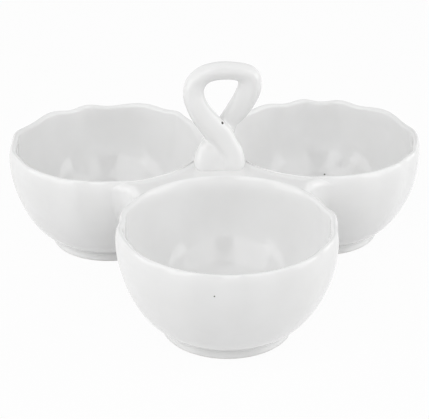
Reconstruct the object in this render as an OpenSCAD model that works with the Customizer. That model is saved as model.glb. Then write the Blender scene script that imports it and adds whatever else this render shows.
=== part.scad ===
// Divided serving bowl of white glazed stoneware. Three bowls with scalloped rims stand in a trefoil,
// a bridge joins them just under the rims, and one thick coil of clay, with its ends crossed, is
// looped up from the bridge as the handle.
// Millimetres, +Z up. The foot rings stand on z = 0, and the origin is the middle of the footprint,
// with one bowl in front (-Y) and two behind.

/* [Bowls] */
// Outer radius of a bowl at its fullest
bowl_radius = 55; // [48:0.5:65]
// Height of the rims above the table
rim_height = 58; // [50:0.5:70]
// Height of the upright band of wall under the rim
rim_band = 9; // [6:0.5:14]
// Thickness of a bowl's wall
wall = 4; // [3:0.25:5]
// Thickness of a bowl's floor
floor_thick = 4.5; // [3.5:0.25:8]
// Radius of the flat base under a bowl
base_radius = 31; // [25:0.5:38]
// Radius of the flat part of a bowl's floor
floor_radius = 26; // [16:0.5:27]
// Power of the wall's curve: 2 is an ellipse, and less is slacker
wall_power = 1.75; // [1.5:0.05:2.5]

/* [Scalloped rims] */
// Scallops round a whole rim
lobes = 12; // [8:1:16]
// How far a scallop stands out from the plain rim
lobe_depth = 0.8; // [0:0.1:1.6]
// How far a scallop stands above the plain rim
lobe_lift = 0.5; // [0:0.1:1.2]

/* [Foot rings] */
// Height of a foot ring
foot_height = 5; // [3:0.25:8]
// Width of a foot ring on the table
foot_width = 6; // [4:0.25:9]
// How far a foot ring spreads past the bowl's flat base
foot_splay = 1.5; // [0:0.25:3]
// Rounding of a foot ring's lower edges
foot_edge = 1; // [0.4:0.1:1.5]

/* [Bridge] */
// Least gap between the walls of two bowls
rim_gap = 8.6; // [6:0.2:14]
// Thickness of the bridge
bridge_thick = 8; // [5:0.25:8.5]
// Depth of the bridge's top below the rims that it joins
bridge_drop = 0.5; // [0.25:0.25:2]
// Plan radius of the rounded hollows between the bowls
hollow_radius = 13; // [11:0.5:22]

/* [Handle] */
// Height of the handle's top above the table
handle_height = 115; // [103:1:134]
// Width of the loop over its outside
loop_width = 41; // [37:0.5:50]
// Mean thickness of the coil
coil_thick = 11; // [9:0.25:12]
// Gap between the coil's two flared ends on the bridge
end_gap = 0.6; // [0.5:0.1:2]
// Gap between a flared end and the rim of the rear bowl beside it
end_margin = 1.8; // [1.5:0.1:4]
// Gap between the flared ends and the rim of the front bowl
end_front_margin = 6.5; // [5:0.1:7.5]
// How far the flared ends lie in front of the middle of the trefoil
end_forward = 0.5; // [0.4:0.1:1.5]

/* [Hidden] */
$fn = 96;
glaze = [0.95, 0.95, 0.94];
overrun = 1;

// Trefoil: the bowls are a third of a turn apart, and the hollows lie midway between them
front = 0;
left = 1;
right = 2;
bowl_angles = [270, 150, 30];
sixth_turn = 60;
reach = (2 * bowl_radius + rim_gap) / sqrt(3);
hub = [0, reach / 4];

// Hollows between the bowls: each is a circle that touches two neighbours
half_spacing = bowl_radius + rim_gap / 2;
hollow_reach = reach / 2 + sqrt(pow(bowl_radius + hollow_radius, 2) - pow(half_spacing, 2));
// Trim of the bridge's edge, so that its horns end blunt against the bowls
nose_trim = 0.5;

// Heights
full_height = rim_height - rim_band;
floor_top = foot_height + floor_thick;
lip_radius = wall / 2;
bridge_top = rim_height - bridge_drop;
bridge_bottom = bridge_top - bridge_thick;

// Scallops: they fade out where the bridge joins the wall. Each row is for one bowl (front, left,
// right), in degrees: the first scallop, and the size, count and start of the drift between them
lobe_layout = [[8, 4, 4, 40], [12.25, 3.5, 5, 74.75], [6.25, 6, 3, 28.75]];
join_angle = atan2(hollow_reach * sin(sixth_turn), reach - hollow_reach * cos(sixth_turn));
join_fade = 20;

// Facets of a bowl: steps round the rim, and along the outer wall, the lip and the inner wall
rim_steps = 84;
outer_steps = 7;
lip_steps = 6;
inner_steps = 6;

// Handle: the ends fill the hub between the rims, clear of them
seat = bridge_top;
hub_depth = reach - bowl_radius;
hub_half_width = half_spacing - sqrt(pow(bowl_radius, 2) - pow(reach / 2, 2));
end_broad = (hub_half_width - end_margin - end_gap / 2) / 2;
end_offset = end_gap / 2 + end_broad;
end_deep = hub_depth - end_front_margin - end_forward;
crest_share = 0.82;
loop_rise = handle_height - crest_share * coil_thick / 2 - seat;

// Facets of the coil: rings between two rows of the tables below, and sides of a ring
coil_steps = 3;
coil_sides = 14;
// Rings over which the coil leaves the upright at each end
lean_rings = 2 * coil_steps;
// Power of the coil's section: 2 is an ellipse, and more is squarer
coil_power = 2.3;

// Rows of the coil, each [across, back, up, broad, deep]. Back is a share of the coil's thickness,
// up of the loop's rise, and broad and deep of half the coil's thickness. Across is a share of the
// coil's thickness in the necks, and of half the loop's width in the loop. In an end, across is a
// share of its offset, back of its place in front of the hub, and broad and deep of its own size.
end_shares = [[1, 1, 0, 1, 1], [0.95, 1, 0.055, 0.93, 0.96]];
front_neck_shares = [
    [0.56, -0.12, 0.14, 1.06, 1],
    [0.37, -0.22, 0.22, 1.16, 0.85],
    [0.07, -0.21, 0.32, 1.26, 0.83],
    [-0.41, -0.2, 0.44, 1.2, 0.84],
];
loop_shares = [
    [-0.5, 0, 0.59, 1.08, 0.95],
    [-0.645, 0.16, 0.735, 1, 1],
    [-0.605, 0.2, 0.863, 0.96, 1],
    [-0.36, 0.2, 0.965, 0.88, 1],
    [0.02, 0.2, 1, crest_share, 1],
    [0.42, 0.2, 0.988, 0.87, 1],
    [0.72, 0.2, 0.927, 1.12, 1],
    [0.77, 0.23, 0.81, 1.2, 1],
    [0.665, 0.32, 0.685, 1.18, 0.98],
    [0.5, 0.47, 0.56, 1.08, 0.95],
];
rear_neck_shares = [
    [0.62, 0.63, 0.44, 1.04, 0.9],
    [0.3, 0.65, 0.33, 1.04, 0.82],
    [-0.07, 0.63, 0.23, 1.04, 0.85],
    [-0.5, 0.4, 0.14, 1, 1],
];

// A place at a distance and angle from the middle of the trefoil
function polar(distance, angle) = hub + distance * [cos(angle), sin(angle)];

// A value held between 0 and 1, and an even ease from 0 to 1
function held(t) = max(0, min(1, t));
function eased(t) = held(t) * held(t) * (3 - 2 * held(t));

// Sides of a tube of rings that run anticlockwise as they rise
function side_faces(rings, sides) = [
    for (i = [0:rings - 2], k = [0:sides - 1])
        let (next = (k + 1) % sides, low = i * sides, high = low + sides)
            each [[low + k, high + k, high + next], [low + k, high + next, low + next]]
];

// One stretch of the wall's curve, from a flat to the full radius, at an angle from 0 to 90
function wall_point(flat, full, bottom, angle) = [
    flat + (full - flat) * pow(sin(angle), 2 / wall_power),
    full_height - (full_height - bottom) * pow(cos(angle), 2 / wall_power),
];

// Section of a bowl as [radius, height]: up the outside, over the lip and down the inside
bowl_section = concat(
    [for (i = [0:outer_steps])
        wall_point(base_radius, bowl_radius, foot_height, 90 * i / outer_steps)],
    [for (i = [0:lip_steps])
        [bowl_radius - lip_radius + lip_radius * cos(180 * i / lip_steps),
         rim_height - lip_radius + lip_radius * sin(180 * i / lip_steps)]],
    [for (i = [inner_steps:-1:0])
        wall_point(floor_radius, bowl_radius - wall, floor_top, 90 * i / inner_steps)]
);

// Scallop of a rim at an angle, from -1 to 1, and 0 along the bridge
function lobe(which, angle) =
    let (
        row = lobe_layout[which],
        drift = row[1] * sin(row[2] * (angle - row[3])),
        away = acos(-cos(angle - bowl_angles[which]))
    )
        eased((away - join_angle) / join_fade) * cos(lobes * (angle - row[0] - drift));

// A point of a bowl's skin: the scallops grow from nothing at the foot
function bowl_point(which, p, angle) =
    let (
        grown = pow(held((p[1] - foot_height) / (rim_height - foot_height)), 2),
        scallop = grown * lobe(which, angle),
        r = p[0] + lobe_depth * scallop
    )
        [r * cos(angle), r * sin(angle), p[1] + lobe_lift * scallop];

// One bowl, a shell of revolution with a scalloped rim
module bowl(which) {
    rings = len(bowl_section);
    base_pole = rings * rim_steps;
    floor_pole = base_pole + 1;
    last = base_pole - rim_steps;
    skin = [
        for (p = bowl_section, k = [0:rim_steps - 1]) bowl_point(which, p, 360 * k / rim_steps)
    ];
    base = [for (k = [0:rim_steps - 1]) [base_pole, k, (k + 1) % rim_steps]];
    floor_fan = [for (k = [0:rim_steps - 1]) [floor_pole, last + (k + 1) % rim_steps, last + k]];
    color(glaze)
        translate(polar(reach, bowl_angles[which]))
            polyhedron(
                concat(skin, [[0, 0, foot_height], [0, 0, floor_top]]),
                concat(side_faces(rings, rim_steps), base, floor_fan)
            );
}

// One foot ring: flat where it stands, with rounded lower edges and a flat top under the bowl
module foot_ring(which) {
    outer = base_radius + foot_splay;
    inner = outer - foot_width;
    color(glaze)
        translate(polar(reach, bowl_angles[which]))
            rotate_extrude() {
                polygon([
                    [inner, foot_edge],
                    [outer, foot_edge],
                    [base_radius, foot_height],
                    [inner, foot_height],
                ]);
                translate([inner + foot_edge, 0]) square([foot_width - 2 * foot_edge, foot_edge]);
                for (r = [inner + foot_edge, outer - foot_edge])
                    translate([r, foot_edge]) circle(foot_edge);
            }
}

// Cutter for one hollow of the bridge: it leaves an upright edge, rounded as the lips are
module hollow_cutter() {
    edge = hollow_radius + nose_trim;
    middle = edge + lip_radius;
    upright = bridge_thick - 2 * lip_radius;
    translate([0, 0, bridge_bottom])
        rotate_extrude()
            difference() {
                translate([0, -overrun]) square([middle, bridge_thick + 2 * overrun]);
                translate([edge, lip_radius]) square([2 * lip_radius, upright]);
                for (z = [lip_radius, lip_radius + upright])
                    translate([middle, z]) circle(lip_radius);
            }
}

// Bridge: a plate with three horns that fills the space between the upright walls of the bowls
module centre_bridge() {
    corners = [
        for (angle = bowl_angles)
            each [polar(reach, angle), polar(hollow_reach, angle - sixth_turn)]
    ];
    color(glaze)
        difference() {
            translate([0, 0, bridge_bottom]) linear_extrude(bridge_thick) polygon(corners);
            for (angle = bowl_angles)
                translate(polar(reach, angle))
                    translate([0, 0, bridge_bottom - overrun])
                        cylinder(r = bowl_radius, h = bridge_thick + 2 * overrun);
            for (angle = bowl_angles)
                translate(polar(hollow_reach, angle - sixth_turn)) hollow_cutter();
        }
}

// Rows of the coil's path as [x, y, z, half breadth, half depth], from the right end to the left
function coil_row(s, across) =
    [s[0] * across, s[1] * coil_thick, seat + s[2] * loop_rise,
     s[3] * coil_thick / 2, s[4] * coil_thick / 2];
function end_row(s, side) =
    [side * s[0] * end_offset, -s[1] * end_forward, seat + s[2] * loop_rise,
     s[3] * end_broad, s[4] * end_deep];
coil_rows = concat(
    [for (s = end_shares) end_row(s, 1)],
    [for (s = front_neck_shares) coil_row(s, coil_thick)],
    [for (s = loop_shares) coil_row(s, loop_width / 2)],
    [for (s = rear_neck_shares) coil_row(s, coil_thick)],
    [for (i = [len(end_shares) - 1:-1:0]) end_row(end_shares[i], -1)]
);

// A smooth curve through the rows, a share t of the way from row i to the next
function curve(rows, i, t) =
    let (
        a = rows[max(i - 1, 0)],
        b = rows[i],
        c = rows[i + 1],
        d = rows[min(i + 2, len(rows) - 1)]
    )
        (2 * b + (c - a) * t + (2 * a - 5 * b + 4 * c - d) * t * t
            + (3 * b - 3 * c + d - a) * t * t * t) / 2;

// A number raised to a power with its sign kept
function signed_pow(v, power) = sign(v) * pow(abs(v), power);

// One ring of the coil: its broad axis lies in the loop's plane, and towards the ends it lies flat
function place(row) = [row[0], row[1], row[2]];
function coil_ring(path, i) =
    let (
        last = len(path) - 1,
        run = place(path[min(i + 1, last)]) - place(path[max(i - 1, 0)]),
        lean = eased(min(i, last - i) / lean_rings),
        course = [lean * run[0], lean * run[1], run[2]],
        along = course / norm(course),
        level = [0, 1, 0] - along[1] * along,
        back = level / norm(level),
        broad = cross(back, along)
    )
        [for (k = [0:coil_sides - 1])
            let (angle = 360 * k / coil_sides)
                place(path[i])
                    + broad * path[i][3] * signed_pow(cos(angle), 2 / coil_power)
                    + back * path[i][4] * signed_pow(sin(angle), 2 / coil_power)];

// Handle: one unbroken coil, whose front strand runs to the right end and rear strand to the left
module loop_handle() {
    path = concat(
        [for (i = [0:len(coil_rows) - 2], j = [0:coil_steps - 1]) curve(coil_rows, i, j / coil_steps)],
        [coil_rows[len(coil_rows) - 1]]
    );
    rings = len(path);
    right_cap = [for (k = [0:coil_sides - 1]) k];
    left_cap = [for (k = [coil_sides - 1:-1:0]) (rings - 1) * coil_sides + k];
    color(glaze)
        translate(hub)
            polyhedron(
                [for (i = [0:rings - 1]) each coil_ring(path, i)],
                concat(side_faces(rings, coil_sides), [right_cap, left_cap])
            );
}

module bowl_front() { bowl(front); }
module bowl_left() { bowl(left); }
module bowl_right() { bowl(right); }
module foot_ring_front() { foot_ring(front); }
module foot_ring_left() { foot_ring(left); }
module foot_ring_right() { foot_ring(right); }

bowl_front();
bowl_left();
bowl_right();
foot_ring_front();
foot_ring_left();
foot_ring_right();
centre_bridge();
loop_handle();
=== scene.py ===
"""Looks of a divided serving bowl: three scalloped bowls in a trefoil, a bridge and a looped coil handle,
in white glazed stoneware, on a white studio sweep."""

import math

import bmesh
import bpy
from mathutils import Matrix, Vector


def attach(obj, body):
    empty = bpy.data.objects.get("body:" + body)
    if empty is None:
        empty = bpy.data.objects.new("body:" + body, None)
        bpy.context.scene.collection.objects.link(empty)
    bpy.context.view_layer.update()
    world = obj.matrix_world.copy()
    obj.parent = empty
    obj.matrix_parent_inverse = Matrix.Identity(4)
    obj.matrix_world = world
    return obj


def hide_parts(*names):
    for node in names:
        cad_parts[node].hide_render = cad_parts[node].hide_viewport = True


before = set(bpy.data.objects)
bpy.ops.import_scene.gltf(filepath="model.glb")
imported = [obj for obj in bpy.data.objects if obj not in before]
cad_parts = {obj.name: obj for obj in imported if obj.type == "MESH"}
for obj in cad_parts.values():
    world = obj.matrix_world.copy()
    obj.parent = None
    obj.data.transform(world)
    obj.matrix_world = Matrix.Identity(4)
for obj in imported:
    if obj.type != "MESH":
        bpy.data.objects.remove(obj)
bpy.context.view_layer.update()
scene = bpy.context.scene
MM = 0.001

# Sizes of the part in millimetres, as in its source
BOWL_RADIUS = 55.0
RIM_HEIGHT = 58.0
WALL = 4.0
BASE_RADIUS = 31.0
FLOOR_RADIUS = 26.0
FLOOR_THICK = 4.5
WALL_POWER = 1.75
RIM_BAND = 9.0
LOBES = 12
LOBE_DEPTH = 0.8
LOBE_LIFT = 0.5
FOOT_HEIGHT = 5.0
FOOT_WIDTH = 6.0
FOOT_SPLAY = 1.5
FOOT_EDGE = 1.0
RIM_GAP = 8.6
BRIDGE_THICK = 8.0
BRIDGE_DROP = 0.5
HOLLOW_RADIUS = 13.0
COIL_THICK = 11.0
LOOP_WIDTH = 41.0
HANDLE_HEIGHT = 115.0

# Bowls and the hollows between them, by degrees round the hub, and the angle from one to the next
BOWL_ANGLES = {"front": 270, "left": 150, "right": 30}
HOLLOW_ANGLES = (330, 210, 90)
SIXTH_TURN = 60
REACH = (2 * BOWL_RADIUS + RIM_GAP) / math.sqrt(3)
HUB = (0.0, REACH / 4)
HALF_SPACING = BOWL_RADIUS + RIM_GAP / 2
HOLLOW_REACH = REACH / 2 + math.sqrt((BOWL_RADIUS + HOLLOW_RADIUS) ** 2 - HALF_SPACING ** 2)
FULL_HEIGHT = RIM_HEIGHT - RIM_BAND
FLOOR_TOP = FOOT_HEIGHT + FLOOR_THICK
LIP = WALL / 2
SEAT = RIM_HEIGHT - BRIDGE_DROP
BRIDGE_BOTTOM = SEAT - BRIDGE_THICK
# On each bowl the bridge covers this angle to either side, and the scallops come up over the next angle
JOIN_ANGLE = math.degrees(math.atan2(HOLLOW_REACH * math.sin(math.radians(SIXTH_TURN)),
                                     REACH - HOLLOW_REACH * math.cos(math.radians(SIXTH_TURN))))
JOIN_FADE = 20.0


def eased(t):
    t = max(0.0, min(1.0, t))
    return t * t * (3 - 2 * t)


def spaced(start, end, count):
    """Even values from start to end, with both."""
    return [start + (end - start) * i / (count - 1) for i in range(count)]


def polar(distance, degrees):
    """The place at a distance from the hub, in plan."""
    a = math.radians(degrees)
    return HUB[0] + distance * math.cos(a), HUB[1] + distance * math.sin(a)


def new_piece(name, verts, faces, crease):
    """A smooth mesh from places in millimetres, with sharp edges where it bends by more than the crease."""
    weld = 1e-7
    mesh = bpy.data.meshes.new(name)
    mesh.from_pydata([tuple(c * MM for c in v) for v in verts], [], faces)
    work = bmesh.new()
    work.from_mesh(mesh)
    bmesh.ops.remove_doubles(work, verts=work.verts, dist=weld)
    bmesh.ops.recalc_face_normals(work, faces=work.faces)
    work.to_mesh(mesh)
    work.free()
    mesh.polygons.foreach_set("use_smooth", [True] * len(mesh.polygons))
    mesh.set_sharp_from_angle(angle=math.radians(crease))
    obj = bpy.data.objects.new(name, mesh)
    scene.collection.objects.link(obj)
    return obj


def tube_faces(rings, sides, base=0):
    faces = []
    for i in range(rings - 1):
        for k in range(sides):
            low, high, n = base + i * sides, base + (i + 1) * sides, (k + 1) % sides
            faces.append((low + k, high + k, high + n, low + n))
    return faces


# Bowls

# Depth of the lip's rounding outside, and breadth and depth of its rounding inside beside the bridge
OUTER_LIP = 7.0
SOFT_LIP = (3.4, 8.5)
# Beside the bridge the inside also opens out by this much, from this height up
LIP_FLARE = 1.1
FLARE_START = 36.0
# Scallops of each rim: angle of the first, then the size, count and start of the waves in their spacing
LOBE_LAYOUT = {"front": (8, 4, 4, 40), "left": (12.25, 3.5, 5, 74.75), "right": (6.25, 6, 3, 28.75)}
# Angles round which the rims run smoothest, how smooth they are there, and how far to either side
CALM_TIPS = {"front": ((192.0, 348.0), 0.6), "left": ((186.0,), 0.75), "right": ((354.0,), 0.75)}
CALM_WIDTH = 14.0
# Beside the handle the rear rims swell: angle, half width, and how far out and up. The front rim doesn't.
SWELLS = {"front": (0.0, 1.0, 0.0, 0.0), "left": (55.0, 19.0, 1.4, 1.1), "right": (136.0, 10.0, 0.7, 0.8)}
# The smooth skins are drawn in by this much, from this far over the foot, to stay in the faceted solids' box
TUCK = 0.06
TUCK_START = 1.0
# Steps of a bowl round its axis, up its curved and its upright wall, and over its lip, out- and inside
BOWL_STEPS = 240
CURVE_STEPS = 40
UPRIGHT_STEPS = 6
LIP_STEPS = (8, 10)
# Rings that fill the flat bottoms, as shares of their radius
BOTTOM_RINGS = (0.3, 0.6, 0.85)
BOWL_CREASE = 40


def wall_point(flat, full, bottom, degrees):
    """Radius and height on a wall that curves up from a flat bottom to its full radius."""
    a = math.radians(degrees)
    return (flat + (full - flat) * max(math.sin(a), 0) ** (2 / WALL_POWER),
            FULL_HEIGHT - (FULL_HEIGHT - bottom) * max(math.cos(a), 0) ** (2 / WALL_POWER))


def inside_flare(z, soft):
    """How far the inside opens out beside the bridge, where soft is 1."""
    return soft * LIP_FLARE * max(0.0, (z - FLARE_START) / (RIM_HEIGHT - FLARE_START)) ** 2


def bowl_section(soft):
    """Half section of a bowl, up the outside and down the inside. The inner lip is rounder where soft is 1.
    All sections have the same number of points."""
    outer, inner = BOWL_RADIUS, BOWL_RADIUS - WALL
    crest = inner + LIP + (SOFT_LIP[0] - LIP) * soft
    depth = LIP + (SOFT_LIP[1] - LIP) * soft
    outer_top, inner_top = RIM_HEIGHT - OUTER_LIP, RIM_HEIGHT - depth
    bends = spaced(0, 90, CURVE_STEPS + 1)
    rows = [(BASE_RADIUS * s, FOOT_HEIGHT) for s in BOTTOM_RINGS]
    rows += [wall_point(BASE_RADIUS, outer, FOOT_HEIGHT, bend) for bend in bends]
    rows += [(outer, z) for z in spaced(FULL_HEIGHT, outer_top, UPRIGHT_STEPS + 1)[1:-1]]
    for a in spaced(0, math.pi / 2, LIP_STEPS[0] + 1):
        rows.append((crest + (outer - crest) * math.cos(a), outer_top + OUTER_LIP * math.sin(a)))
    spread = crest - inner - inside_flare(RIM_HEIGHT, soft)
    inside = []
    for a in spaced(0, math.pi / 2, LIP_STEPS[1] + 1)[1:]:
        inside.append((inner + spread * (1 - math.sin(a)), inner_top + depth * math.cos(a)))
    inside += [(inner, z) for z in spaced(inner_top, FULL_HEIGHT, UPRIGHT_STEPS + 1)[1:-1]]
    inside += [wall_point(FLOOR_RADIUS, inner, FLOOR_TOP, bend) for bend in reversed(bends)]
    rows += [(r + inside_flare(z, soft), z) for r, z in inside]
    rows += [(FLOOR_RADIUS * s, FLOOR_TOP) for s in reversed(BOTTOM_RINGS)]
    return rows


def from_hub(side, degrees):
    """Angle round a bowl from its point nearest the middle of the trefoil, from 0 to 180."""
    return math.degrees(math.acos(max(-1, min(1, -math.cos(math.radians(degrees - BOWL_ANGLES[side]))))))


def lobe(side, degrees):
    """A rim's scallop at an angle, from -1 to 1. It fades out beside the bridge."""
    first, size, count, start = LOBE_LAYOUT[side]
    drift = size * math.sin(math.radians(count * (degrees - start)))
    fade = eased((from_hub(side, degrees) - JOIN_ANGLE) / JOIN_FADE)
    tips, calm = CALM_TIPS[side]
    away = min(abs(math.remainder(degrees - tip, 360)) for tip in tips)
    fade *= 1 - calm * math.exp(-(away / CALM_WIDTH) ** 2)
    return fade * math.cos(math.radians(LOBES * (degrees - first - drift)))


def bowl_point(side, r, z, degrees):
    """A point of a bowl's section, turned round the bowl's axis, with its scallop and swell."""
    grown = max(0.0, min(1.0, (z - FOOT_HEIGHT) / (RIM_HEIGHT - FOOT_HEIGHT))) ** 2
    scallop = grown * lobe(side, degrees)
    middle, width, out, up = SWELLS[side]
    swell = grown * math.exp(-((degrees - middle) / width) ** 2)
    tuck = TUCK if z > FOOT_HEIGHT + TUCK_START else 0.0
    r = max(0.0, r + LOBE_DEPTH * scallop + out * swell - tuck)
    a = math.radians(degrees)
    return r * math.cos(a), r * math.sin(a), z + LOBE_LIFT * scallop + up * swell - TUCK * grown


def make_bowl(side):
    cx, cy = polar(REACH, BOWL_ANGLES[side])
    turns = [360 * k / BOWL_STEPS for k in range(BOWL_STEPS)]
    sections = [bowl_section(eased((JOIN_ANGLE - from_hub(side, turn)) / JOIN_FADE)) for turn in turns]
    rings = len(sections[0])
    verts = []
    for i in range(rings):
        for section, turn in zip(sections, turns):
            x, y, z = bowl_point(side, *section[i], turn)
            verts.append((cx + x, cy + y, z))
    faces = tube_faces(rings, BOWL_STEPS)
    low_pole, high_pole = len(verts), len(verts) + 1
    verts += [(cx, cy, FOOT_HEIGHT), (cx, cy, FLOOR_TOP)]
    last = (rings - 1) * BOWL_STEPS
    faces += [(low_pole, k, (k + 1) % BOWL_STEPS) for k in range(BOWL_STEPS)]
    faces += [(high_pole, last + (k + 1) % BOWL_STEPS, last + k) for k in range(BOWL_STEPS)]
    return new_piece(f"glazed_bowl_{side}", verts, faces, BOWL_CREASE)


# Foot rings

# The foot's flare at the table, its edge there, and its waist as [radius past the base, height]
FOOT_FLARE = 2.3
FLARE_EDGE = 0.7
FOOT_WAIST = [(1.9, 1.3), (1.5, 2.0), (1.2, 2.8), (1.05, 3.6), (1.1, 4.3), (1.4, 4.9), (2.1, 5.4),
              (3.2, 5.9), (3.0, 6.3)]
# How far the ring goes up into the bowl's floor
FOOT_SINK = 1.0
RING_STEPS = 160
CORNER_STEPS = 6
RING_CREASE = 50


def make_foot_ring(side):
    """A ring that flares to the table and curves out again into the wall of its bowl."""
    outer = BASE_RADIUS + FOOT_FLARE
    inner = BASE_RADIUS + FOOT_SPLAY - FOOT_WIDTH
    section = [(inner, FOOT_HEIGHT + FOOT_SINK)]
    for r, edge, start in ((inner + FOOT_EDGE, FOOT_EDGE, 180), (outer - FLARE_EDGE, FLARE_EDGE, 270)):
        for degrees in spaced(start, start + 90, CORNER_STEPS + 1):
            a = math.radians(degrees)
            section.append((r + edge * math.cos(a), edge + edge * math.sin(a)))
    section += [(BASE_RADIUS + r, z) for r, z in FOOT_WAIST]
    cx, cy = polar(REACH, BOWL_ANGLES[side])
    verts = []
    for r, z in section + [section[0]]:
        for k in range(RING_STEPS):
            a = 2 * math.pi * k / RING_STEPS
            verts.append((cx + r * math.cos(a), cy + r * math.sin(a), z))
    return new_piece(f"foot_ring_{side}_skin", verts, tube_faces(len(section) + 1, RING_STEPS), RING_CREASE)


# Bridge

# The bridge's top starts inside the lips, a little under their crests, and swells between them.
# Its edge ends just inside the walls that it meets.
JOIN_RADIUS = BOWL_RADIUS - 1.0
JOIN_DROP = {"front": 0.05, "left": 0.6, "right": 0.6}
MIDDLE_DROP = 0.15
EDGE_RADIUS = HOLLOW_RADIUS + 0.1
# Radius of the turn from its top to its edge
EDGE_ROUND = 4.5
# Its edge is turned down between the bowls as an apron, this thick, to this height
APRON = 5.0
APRON_LOW = 27.0
# Heights at which the apron's face and back start and at which both end, and its lower edge as [in, up]
APRON_FACE = FULL_HEIGHT + 3.0
APRON_BACK = BRIDGE_BOTTOM - 0.2
APRON_END = APRON_LOW + 1.5
APRON_EDGE = [(0.6, 0.4), (1.6, 0.0)]
# Steps of an arm across, over its rounded edge, on to its waist and on to the hub, and down its apron
ARM_COLUMNS = 28
ROUND_STEPS = 10
WAIST_STEPS = 16
HUB_STEPS = 18
APRON_STEPS = 16
BRIDGE_CREASE = 60


def bridge_top(x, y):
    """Height of the bridge's top, which runs up to the front rim and a little under the two rear rims."""
    drop, rest = 0.0, 1.0
    for side, angle in BOWL_ANGLES.items():
        cx, cy = polar(REACH, angle)
        d = max(0.0, math.hypot(x - cx, y - cy) - JOIN_RADIUS)
        near = (1 + math.cos(math.pi * min(1.0, d / (HALF_SPACING - JOIN_RADIUS)))) / 2
        drop += near * JOIN_DROP[side]
        rest -= near
    return RIM_HEIGHT - drop - MIDDLE_DROP * rest


def edge_drop(e):
    """How far the bridge's rounded edge lies below its face, at a distance e from the hollow."""
    short = EDGE_ROUND - min(EDGE_ROUND, max(0.0, e))
    return EDGE_ROUND - math.sqrt(EDGE_ROUND ** 2 - short ** 2)


def waist_rows(hx, hy, angle, centres):
    """Plan rows of an arm from its hollow, round (hx, hy), to its waist, as arcs from bowl to bowl."""
    to_hub = math.radians(angle + 180)
    apart = math.hypot(centres[0][0] - hx, centres[0][1] - hy)
    swings = [math.remainder(math.atan2(cy - hy, cx - hx) - to_hub, 2 * math.pi) for cx, cy in centres]
    waist = HOLLOW_REACH - REACH / 2 - EDGE_RADIUS
    edges = [EDGE_ROUND * (1 - math.cos(a)) for a in spaced(0, math.pi / 2, ROUND_STEPS + 1)]
    edges += spaced(EDGE_ROUND, waist, WAIST_STEPS + 1)[1:]
    rows = []
    for e in edges:
        rho = EDGE_RADIUS + e
        reach_cos = (rho ** 2 + apart ** 2 - JOIN_RADIUS ** 2) / (2 * rho * apart)
        narrow = math.acos(max(-1.0, min(1.0, reach_cos)))
        first, last = (to_hub + swing - math.copysign(narrow, swing) for swing in swings)
        rows.append([(hx + rho * math.cos(a), hy + rho * math.sin(a), e)
                     for a in spaced(first, last, ARM_COLUMNS + 1)])
    return rows


def bridge_patch(angle):
    """Plan of one arm of the bridge, in rows from the hollow's edge to the hub. Each is a list of
    (x, y, distance from the hollow)."""
    hx, hy = polar(HOLLOW_REACH, angle)
    turns = (SIXTH_TURN, -SIXTH_TURN)
    centres = [polar(REACH, angle + turn) for turn in turns]
    rows = waist_rows(hx, hy, angle, centres)
    # From the waist on, rows are blended between four borders: waist, two bowls, and two lines from the hub
    start = rows[-1]
    ends = [polar(REACH - JOIN_RADIUS, angle + turn) for turn in turns]
    far = []
    for k in range(ARM_COLUMNS + 1):
        t = abs(2 * k / ARM_COLUMNS - 1)
        end = ends[0] if k < ARM_COLUMNS / 2 else ends[1]
        far.append((HUB[0] + (end[0] - HUB[0]) * t, HUB[1] + (end[1] - HUB[1]) * t))
    sides = []
    for c, p, q in ((centres[0], start[0], far[0]), (centres[1], start[-1], far[-1])):
        a0, a1 = math.atan2(p[1] - c[1], p[0] - c[0]), math.atan2(q[1] - c[1], q[0] - c[0])
        turn = math.remainder(a1 - a0, 2 * math.pi)
        sides.append([(c[0] + JOIN_RADIUS * math.cos(a), c[1] + JOIN_RADIUS * math.sin(a))
                      for a in spaced(a0, a0 + turn, HUB_STEPS + 1)])
    for i in range(1, HUB_STEPS + 1):
        u = i / HUB_STEPS
        row = []
        for k in range(ARM_COLUMNS + 1):
            v = k / ARM_COLUMNS
            p = []
            for d in (0, 1):
                edge = (1 - u) * start[k][d] + u * far[k][d] + (1 - v) * sides[0][i][d] + v * sides[1][i][d]
                corner = ((1 - u) * ((1 - v) * start[0][d] + v * start[-1][d])
                          + u * ((1 - v) * far[0][d] + v * far[-1][d]))
                p.append(edge - corner)
            row.append((p[0], p[1], math.hypot(p[0] - hx, p[1] - hy) - EDGE_RADIUS))
        rows.append(row)
    return rows


def outer_radius(z):
    """Radius of a bowl's outside at a height, without its scallops."""
    if z >= FULL_HEIGHT:
        return BOWL_RADIUS
    a = math.acos(((FULL_HEIGHT - z) / (FULL_HEIGHT - FOOT_HEIGHT)) ** (WALL_POWER / 2))
    return BASE_RADIUS + (BOWL_RADIUS - BASE_RADIUS) * math.sin(a) ** (2 / WALL_POWER)


def apron_row(angle, z, thick):
    """One level row of the turned-down edge, a hollow arc from the wall of one bowl to the next."""
    radius = outer_radius(z)
    apart = radius + HOLLOW_RADIUS
    rho = EDGE_RADIUS + thick
    away = math.sqrt(apart ** 2 - HALF_SPACING ** 2)
    hx, hy = polar(REACH / 2 + away, angle)
    inside = radius - BOWL_RADIUS + JOIN_RADIUS
    reach_cos = (rho ** 2 + apart ** 2 - inside ** 2) / (2 * rho * apart)
    half = math.atan2(HALF_SPACING, away) - math.acos(max(-1.0, min(1.0, reach_cos)))
    to_hub = math.radians(angle + 180)
    return [(hx + rho * math.cos(a), hy + rho * math.sin(a), z)
            for a in spaced(to_hub - half, to_hub + half, ARM_COLUMNS + 1)]


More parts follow.
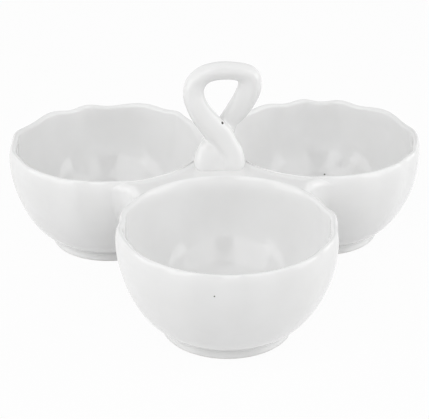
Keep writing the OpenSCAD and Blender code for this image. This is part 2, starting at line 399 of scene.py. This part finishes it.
def make_bridge():
    """Three arms. Each has an outer skin, from the hub over its edge and down its apron, and an inner one."""
    verts, faces = [], []
    count = ARM_COLUMNS + 1
    for angle in HOLLOW_ANGLES:
        rows = bridge_patch(angle)
        behind = sum(1 for row in rows if row[count // 2][2] < APRON)
        outer = [[(x, y, bridge_top(x, y) - edge_drop(e)) for x, y, e in row] for row in reversed(rows)]
        outer += [apron_row(angle, z, 0.0) for z in spaced(APRON_FACE, APRON_END, APRON_STEPS + 1)]
        outer += [apron_row(angle, APRON_LOW + up, deep) for deep, up in APRON_EDGE]
        inner = [[(x, y, BRIDGE_BOTTOM) for x, y, e in row] for row in reversed(rows[behind:])]
        rest = len(outer) - len(inner) - len(APRON_EDGE)
        inner += [apron_row(angle, z, APRON) for z in spaced(APRON_BACK, APRON_END, rest)]
        inner += [apron_row(angle, APRON_LOW + up, APRON - deep) for deep, up in APRON_EDGE]
        base = len(verts)
        size = len(outer) * count
        for row in outer + inner:
            verts += row
        for i in range(len(outer) - 1):
            for k in range(count - 1):
                a = base + i * count + k
                faces.append((a, a + 1, a + count + 1, a + count))
                b = a + size
                faces.append((b, b + count, b + count + 1, b + 1))
            for k in (0, count - 1):
                a = base + i * count + k
                faces.append((a, a + count, a + count + size, a + size))
        last = base + size - count
        faces += [(last + k, last + k + 1, last + k + 1 + size, last + k + size) for k in range(count - 1)]
    return new_piece("glazed_bridge", verts, faces, BRIDGE_CREASE)


# Handle

# The coil's breadth at the top of the loop, as a share of its thickness
CREST = 0.82
LOOP_RISE = HANDLE_HEIGHT - CREST * COIL_THICK / 2 - SEAT
# The coil from its right foot round the loop to its left foot. Rows of the loop are shares of its half width,
# the coil's thickness and the rise, its half breadth and half depth as shares of half the thickness, and the
# degrees by which its outer side is rolled to the front.
# The other rows are [x, y, z, half breadth, half depth, roll] from hub and seat.
RIGHT_FOOT = [(6.4, -1.7, -0.7, 6.1, 7.0, 0), (7.0, -1.7, 2.7, 6.9, 7.3, 2), (6.5, -1.7, 7.4, 6.4, 6.1, 6),
              (4.1, -1.5, 11.7, 6.3, 5.2, 12), (0.8, -1.0, 17.0, 6.8, 4.9, 16),
              (-4.4, -0.9, 23.3, 6.5, 4.9, 16)]
LOOP = [(-0.5, 0, 0.59, 1.06, 0.92, 16), (-0.645, 0.16, 0.735, 0.98, 0.92, 20),
        (-0.605, 0.2, 0.86, 0.92, 0.88, 22), (-0.36, 0.2, 0.958, 0.82, 0.82, 24),
        (0.02, 0.2, 0.994, CREST, 0.8, 24), (0.47, 0.2, 0.984, 0.82, 0.8, 26),
        (0.755, 0.2, 0.93, 1.06, 0.82, 26), (0.785, 0.23, 0.815, 1.14, 0.86, 24),
        (0.665, 0.32, 0.685, 1.12, 0.92, 14), (0.485, 0.45, 0.56, 1.06, 0.95, 6)]
LEFT_FOOT = [(5.4, 5.9, 23.3, 4.9, 5.0, 0), (2.8, 6.0, 17.5, 5.6, 5.0, 0), (-1.2, 5.2, 12.2, 5.7, 5.3, 0),
             (-5.2, 2.4, 7.4, 6.3, 6.4, 0), (-6.4, 0.0, 2.7, 7.2, 7.2, 0), (-5.9, -1.0, -0.7, 6.7, 7.0, 0)]
# The left end pressed forward into a round foot, and clay pressed into the fork between the feet
LEFT_WAD = [(-5.7, -1.3, -0.7, 6.6, 7.0, 0), (-6.2, -1.4, 2.7, 7.5, 7.6, 0), (-5.2, -1.5, 7.0, 7.2, 6.8, 0),
            (-4.9, -0.9, 10.5, 6.4, 6.0, 0), (-4.5, 0.1, 13.2, 5.0, 4.8, 0), (-4.3, 1.0, 15.2, 3.0, 3.0, 0)]
FORK_WAD = [(0.5, -2.0, -0.7, 5.5, 6.5, 0), (0.5, -1.9, 2.9, 5.0, 6.3, 0), (0.4, -1.6, 6.5, 4.4, 5.7, 0),
            (0.0, -0.6, 10.0, 3.6, 4.4, 0), (-0.6, 0.4, 13.0, 2.6, 3.0, 0)]
# Squareness of the coil's section, 2 for an ellipse
COIL_POWER = 2.8
COIL_STEPS = 12
COIL_SIDES = 56
COIL_CREASE = 60
# Grid of the fused skin in millimetres, and rounds of softening with the share of each
SKIN_GRID = 0.4
SOFT_ROUNDS = 60
SOFT_SHARE = 0.5


def on_seat(rows):
    return [(x, y, SEAT + z, broad, deep, math.radians(roll)) for x, y, z, broad, deep, roll in rows]


def coil_rows():
    half_width, half = LOOP_WIDTH / 2, COIL_THICK / 2
    loop = []
    for x, y, z, broad, deep, roll in LOOP:
        loop.append((x * half_width, y * COIL_THICK, SEAT + z * LOOP_RISE,
                     broad * half, deep * half, math.radians(roll)))
    return on_seat(RIGHT_FOOT) + loop + on_seat(LEFT_FOOT)


def curve_through(rows):
    """A smooth curve through all rows, by the Catmull-Rom rule."""
    path = []
    for i in range(len(rows) - 1):
        a, b, c = rows[max(i - 1, 0)], rows[i], rows[i + 1]
        d = rows[min(i + 2, len(rows) - 1)]
        for j in range(COIL_STEPS):
            t = j / COIL_STEPS
            path.append(tuple((2 * q + (r - p) * t + (2 * p - 5 * q + 4 * r - s) * t * t
                               + (3 * q - 3 * r + s - p) * t ** 3) / 2 for p, q, r, s in zip(a, b, c, d)))
    return path + [rows[-1]]


def coil_verts(path):
    """Rings of a tube along a path. At both ends they lie level, and over two rows they turn to the path."""
    last = len(path) - 1
    verts = []
    for i, (*place, broad, deep, roll) in enumerate(path):
        run = Vector(path[min(i + 1, last)][:3]) - Vector(path[max(i - 1, 0)][:3])
        lean = eased(min(i, last - i) / (2 * COIL_STEPS))
        along = Vector((run.x * lean, run.y * lean, run.z)).normalized()
        back = (Vector((0, 1, 0)) - along.y * along).normalized()
        inward = back.cross(along)
        across = broad * (inward * math.cos(roll) + back * math.sin(roll))
        through = deep * (back * math.cos(roll) - inward * math.sin(roll))
        for k in range(COIL_SIDES):
            a = 2 * math.pi * k / COIL_SIDES
            c, s = math.cos(a), math.sin(a)
            p = (Vector(place) + across * math.copysign(abs(c) ** (2 / COIL_POWER), c)
                 + through * math.copysign(abs(s) ** (2 / COIL_POWER), s))
            verts.append((p.x + HUB[0], p.y + HUB[1], p.z))
    return verts


def capped(rings, sides, base):
    faces = tube_faces(rings, sides, base)
    faces.append(tuple(base + k for k in range(sides)))
    faces.append(tuple(base + (rings - 1) * sides + k for k in reversed(range(sides))))
    return faces


def fuse(piece):
    """One skin over overlapping solids, as clay that was pressed together, with its creases softened."""
    skin = piece.modifiers.new("skin", "REMESH")
    skin.mode = "VOXEL"
    skin.voxel_size = SKIN_GRID * MM
    soften = piece.modifiers.new("soften", "SMOOTH")
    soften.factor = SOFT_SHARE
    soften.iterations = SOFT_ROUNDS
    bpy.context.view_layer.update()
    made = bpy.data.meshes.new_from_object(piece.evaluated_get(bpy.context.evaluated_depsgraph_get()))
    piece.modifiers.clear()
    piece.data = made
    made.polygons.foreach_set("use_smooth", [True] * len(made.polygons))


def make_handle():
    verts, faces = [], []
    for rows in (coil_rows(), on_seat(LEFT_WAD), on_seat(FORK_WAD)):
        path = curve_through(rows)
        faces += capped(len(path), COIL_SIDES, len(verts))
        verts += coil_verts(path)
    piece = new_piece("glazed_loop_handle", verts, faces, COIL_CREASE)
    fuse(piece)
    return piece


# Materials

# Noises are [scale, detail, roughness], spans are the ends of a ramp on them
GLAZE_IOR = 1.5
CLOUD_NOISE, CLOUD_SPAN = (34, 3, 0.5), (0.35, 0.68)
CLOUD_COLOURS = (0.855, 0.855, 0.851), (0.885, 0.886, 0.885)
SHINE_NOISE, SHINE_ROUGH = (60, 4, 0.6), (0.05, 0.1)
# Unevenness of the glaze from coarse to fine, as [noise, strength, height in metres]
RELIEF = [((22, 2, 0.4), 0.3, 0.002), ((95, 2, 0.4), 0.1, 0.0006), ((900, 3, 0.55), 0.03, 0.00008)]
# Two iron specks that burnt through the glaze on the bowls, and one dot of painted shade in the crevice at
# the bottom of the handle's loop, as [x, y, z, radius], and their soft edge in shares of the radius
SPECKS_AND_SHADE_DOT = [(67.4, 88.7, 16.5, 0.5), (-9.4, -105.1, 47.6, 0.4), (1.6, 14.1, 83.0, 0.85)]
SPECK_AND_SHADE_COLOUR = (0.03, 0.026, 0.022)
SPECK_AND_SHADE_EDGE = (0.7, 1.1)
# Bare clay where the feet stand: heights over which the glaze starts, and roughness of clay and glaze there
CLAY_NOISE, CLAY_SPAN = (700, 5, 0.7), (0.3, 0.7)
CLAY_COLOURS = (0.6, 0.56, 0.5), (0.74, 0.71, 0.65)
GLAZE_START = (0.0002, 0.0006)
FOOT_ROUGH = (0.85, 0.14)
UNIT = (0.0, 1.0)


def node(tree, kind, **values):
    made = tree.nodes.new(kind)
    for key, value in values.items():
        setattr(made, key, value)
    return made


def glaze_material(name, bare_foot):
    material = bpy.data.materials.new(name)
    material.use_nodes = True
    tree = material.node_tree
    shader = tree.nodes["Principled BSDF"]
    shader.inputs["IOR"].default_value = GLAZE_IOR
    link = tree.links.new
    place = node(tree, "ShaderNodeTexCoord").outputs["Object"]

    def noise(scale, detail, rough):
        made = node(tree, "ShaderNodeTexNoise")
        made.inputs["Scale"].default_value = scale
        made.inputs["Detail"].default_value = detail
        made.inputs["Roughness"].default_value = rough
        link(place, made.inputs["Vector"])
        return made.outputs["Fac"]

    def ramp(value, span, colours):
        made = node(tree, "ShaderNodeValToRGB")
        for element, position, colour in zip(made.color_ramp.elements, span, colours):
            element.position = position
            element.color = (*colour, 1)
        link(value, made.inputs["Fac"])
        return made.outputs["Color"]

    def mapped(value, source, target):
        made = node(tree, "ShaderNodeMapRange")
        made.inputs["From Min"].default_value, made.inputs["From Max"].default_value = source
        made.inputs["To Min"].default_value, made.inputs["To Max"].default_value = target
        link(value, made.inputs["Value"])
        return made.outputs["Result"]

    def mix(factor, first, second):
        made = node(tree, "ShaderNodeMix", data_type="RGBA")
        link(factor, made.inputs["Factor"])
        link(first, made.inputs["A"])
        link(second, made.inputs["B"])
        return made.outputs["Result"]

    def speck_or_shade_dot_on(distance, radius, around):
        """A speck's or painted shade dot's colour within its radius, with a soft edge, and the colour around
        it beyond.
        """
        made = node(tree, "ShaderNodeMix", data_type="RGBA")
        link(mapped(distance, [share * radius * MM for share in SPECK_AND_SHADE_EDGE], UNIT), made.inputs["Factor"])
        made.inputs["A"].default_value = (*SPECK_AND_SHADE_COLOUR, 1)
        link(around, made.inputs["B"])
        return made.outputs["Result"]

    normal = None
    for waves, strength, height in RELIEF:
        bump = node(tree, "ShaderNodeBump")
        bump.inputs["Strength"].default_value = strength
        bump.inputs["Distance"].default_value = height
        link(noise(*waves), bump.inputs["Height"])
        if normal:
            link(normal, bump.inputs["Normal"])
        normal = bump.outputs["Normal"]
    link(normal, shader.inputs["Normal"])
    colour = ramp(noise(*CLOUD_NOISE), CLOUD_SPAN, CLOUD_COLOURS)
    # Iron specks on the bowls, and the dot of painted shade in the handle's crevice
    for *at, radius in SPECKS_AND_SHADE_DOT:
        away = node(tree, "ShaderNodeVectorMath", operation="DISTANCE")
        link(place, away.inputs[0])
        away.inputs[1].default_value = [c * MM for c in at]
        colour = speck_or_shade_dot_on(away.outputs["Value"], radius, colour)
    if bare_foot:
        parts = node(tree, "ShaderNodeSeparateXYZ")
        link(place, parts.inputs["Vector"])
        glazed = mapped(parts.outputs["Z"], GLAZE_START, UNIT)
        clay = ramp(noise(*CLAY_NOISE), CLAY_SPAN, CLAY_COLOURS)
        colour = mix(glazed, clay, colour)
        rough = mapped(glazed, UNIT, FOOT_ROUGH)
    else:
        rough = mapped(noise(*SHINE_NOISE), UNIT, SHINE_ROUGH)
    link(colour, shader.inputs["Base Color"])
    link(rough, shader.inputs["Roughness"])
    return material


glaze = glaze_material("white_glaze", False)
foot_glaze = glaze_material("foot_glaze", True)


def dress(piece, cad_node, material):
    piece.data.materials.append(material)
    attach(piece, "root")
    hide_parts(cad_node)


for side in BOWL_ANGLES:
    dress(make_bowl(side), f"bowl_{side}", glaze)
    dress(make_foot_ring(side), f"foot_ring_{side}", foot_glaze)
dress(make_bridge(), "centre_bridge", glaze)
dress(make_handle(), "loop_handle", glaze)


# Studio, in metres

# The floor's half width, its grey for light that falls on it, and the share of white in what is seen of it
FLOOR_HALF = 6.0
FLOOR_GREY = 0.77
FLOOR_WHITE = 0.95
WORLD_FILL = 0.63
# Lamps stand round the dish as in a light tent, as [name, azimuth, elevation, width, height, radiance]
STUDIO_AIM = (0.0, 0.02, 0.03)
STUDIO_RADIUS = 1.05
LAMPS = [("key_left", -38, 45, 0.9, 0.72, 1.17), ("key_right", 38, 44, 0.9, 0.6, 0.85),
         ("side_left", -80, 17, 1.0, 0.6, 1.28), ("side_right", 80, 17, 1.0, 0.6, 1.54)]
# Cloths hang over the camera and behind the dish, out of the picture. The bowls mirror the dark one as a
# band, and level surfaces the grey one, as [name, half width, low edge (y, z), high edge (y, z), grey].
CLOTHS = [("cloth_front", 0.22, (-1.0, 0.52), (-0.45, 1.25), 0.08),
          ("cloth_rear", 0.7, (1.1, 0.45), (1.0, 1.0), 0.6)]
# Camera, fitted to the photograph
CAMERA_PLACE = (-0.04041, -0.65101, 0.36580)
CAMERA_AIM = (-0.00242, 0.01726, 0.03077)
CAMERA_LENS = 115.66
CAMERA_SENSOR = 36.0


def seen_directly(tree):
    """1 for rays from the camera, and for mirrored and transmitted ones, which show the same white sweep."""
    path = node(tree, "ShaderNodeLightPath")
    first = node(tree, "ShaderNodeMath", operation="MAXIMUM")
    tree.links.new(path.outputs["Is Camera Ray"], first.inputs[0])
    tree.links.new(path.outputs["Is Glossy Ray"], first.inputs[1])
    second = node(tree, "ShaderNodeMath", operation="MAXIMUM")
    tree.links.new(first.outputs[0], second.inputs[0])
    tree.links.new(path.outputs["Is Transmission Ray"], second.inputs[1])
    return second.outputs[0]


def new_sheet(name, corners):
    mesh = bpy.data.meshes.new(name)
    mesh.from_pydata(corners, [], [(0, 1, 2, 3)])
    sheet = bpy.data.objects.new(name, mesh)
    scene.collection.objects.link(sheet)
    return sheet


def sheet_material(sheet, name, grey):
    """An unlinked output and a diffuse grey for a sheet, with the tree that holds them."""
    material = bpy.data.materials.new(name)
    material.use_nodes = True
    tree = material.node_tree
    tree.nodes.clear()
    out = node(tree, "ShaderNodeOutputMaterial")
    matt = node(tree, "ShaderNodeBsdfDiffuse")
    matt.inputs["Color"].default_value = (grey, grey, grey, 1)
    sheet.data.materials.append(material)
    return tree, out, matt


def make_floor():
    half = FLOOR_HALF
    floor = new_sheet("floor", [(-half, -half, 0), (half, -half, 0), (half, half, 0), (-half, half, 0)])
    tree, out, paper = sheet_material(floor, "floor_paper", FLOOR_GREY)
    white = node(tree, "ShaderNodeEmission")
    white.inputs["Strength"].default_value = 1.0
    share = node(tree, "ShaderNodeMath", operation="MULTIPLY")
    tree.links.new(seen_directly(tree), share.inputs[0])
    share.inputs[1].default_value = FLOOR_WHITE
    both = node(tree, "ShaderNodeMixShader")
    tree.links.new(share.outputs[0], both.inputs["Fac"])
    tree.links.new(paper.outputs[0], both.inputs[1])
    tree.links.new(white.outputs[0], both.inputs[2])
    tree.links.new(both.outputs[0], out.inputs["Surface"])


def make_cloth(name, half, low_edge, high_edge, grey):
    hung = new_sheet(name, [(-half, *low_edge), (half, *low_edge), (half, *high_edge), (-half, *high_edge)])
    tree, out, cloth = sheet_material(hung, name, grey)
    tree.links.new(cloth.outputs[0], out.inputs["Surface"])


def make_world():
    world = bpy.data.worlds.new("studio")
    scene.world = world
    world.use_nodes = True
    tree = world.node_tree
    tree.nodes.clear()
    out = node(tree, "ShaderNodeOutputWorld")
    fill = node(tree, "ShaderNodeBackground")
    fill.inputs["Color"].default_value = (1, 1, 1, 1)
    fill.inputs["Strength"].default_value = WORLD_FILL
    white = node(tree, "ShaderNodeBackground")
    white.inputs["Color"].default_value = (1, 1, 1, 1)
    both = node(tree, "ShaderNodeMixShader")
    tree.links.new(seen_directly(tree), both.inputs["Fac"])
    tree.links.new(fill.outputs[0], both.inputs[1])
    tree.links.new(white.outputs[0], both.inputs[2])
    tree.links.new(both.outputs[0], out.inputs["Surface"])


def aimed(obj, place, target):
    obj.location = place
    obj.rotation_euler = (Vector(target) - Vector(place)).to_track_quat("-Z", "Y").to_euler()
    scene.collection.objects.link(obj)
    return obj


def studio_place(azimuth, elevation):
    """A place round the dish, by degrees to the right of the front and degrees up."""
    a, e = math.radians(azimuth), math.radians(elevation)
    flat = STUDIO_RADIUS * math.cos(e)
    return Vector(STUDIO_AIM) + Vector((flat * math.sin(a), -flat * math.cos(a), STUDIO_RADIUS * math.sin(e)))


def make_softbox(name, azimuth, elevation, width, height, radiance):
    lamp = bpy.data.lights.new(name, "AREA")
    lamp.shape = "RECTANGLE"
    lamp.size, lamp.size_y = width, height
    lamp.energy = radiance * math.pi * width * height
    aimed(bpy.data.objects.new(name, lamp), studio_place(azimuth, elevation), STUDIO_AIM)


def make_camera():
    lens = bpy.data.cameras.new("camera")
    lens.sensor_width = CAMERA_SENSOR
    lens.lens = CAMERA_LENS
    scene.camera = aimed(bpy.data.objects.new("camera", lens), CAMERA_PLACE, CAMERA_AIM)


make_floor()
for cloth in CLOTHS:
    make_cloth(*cloth)
make_world()
for lamp in LAMPS:
    make_softbox(*lamp)
make_camera()
scene.view_settings.view_transform = "Standard"

bpy.context.view_layer.update()
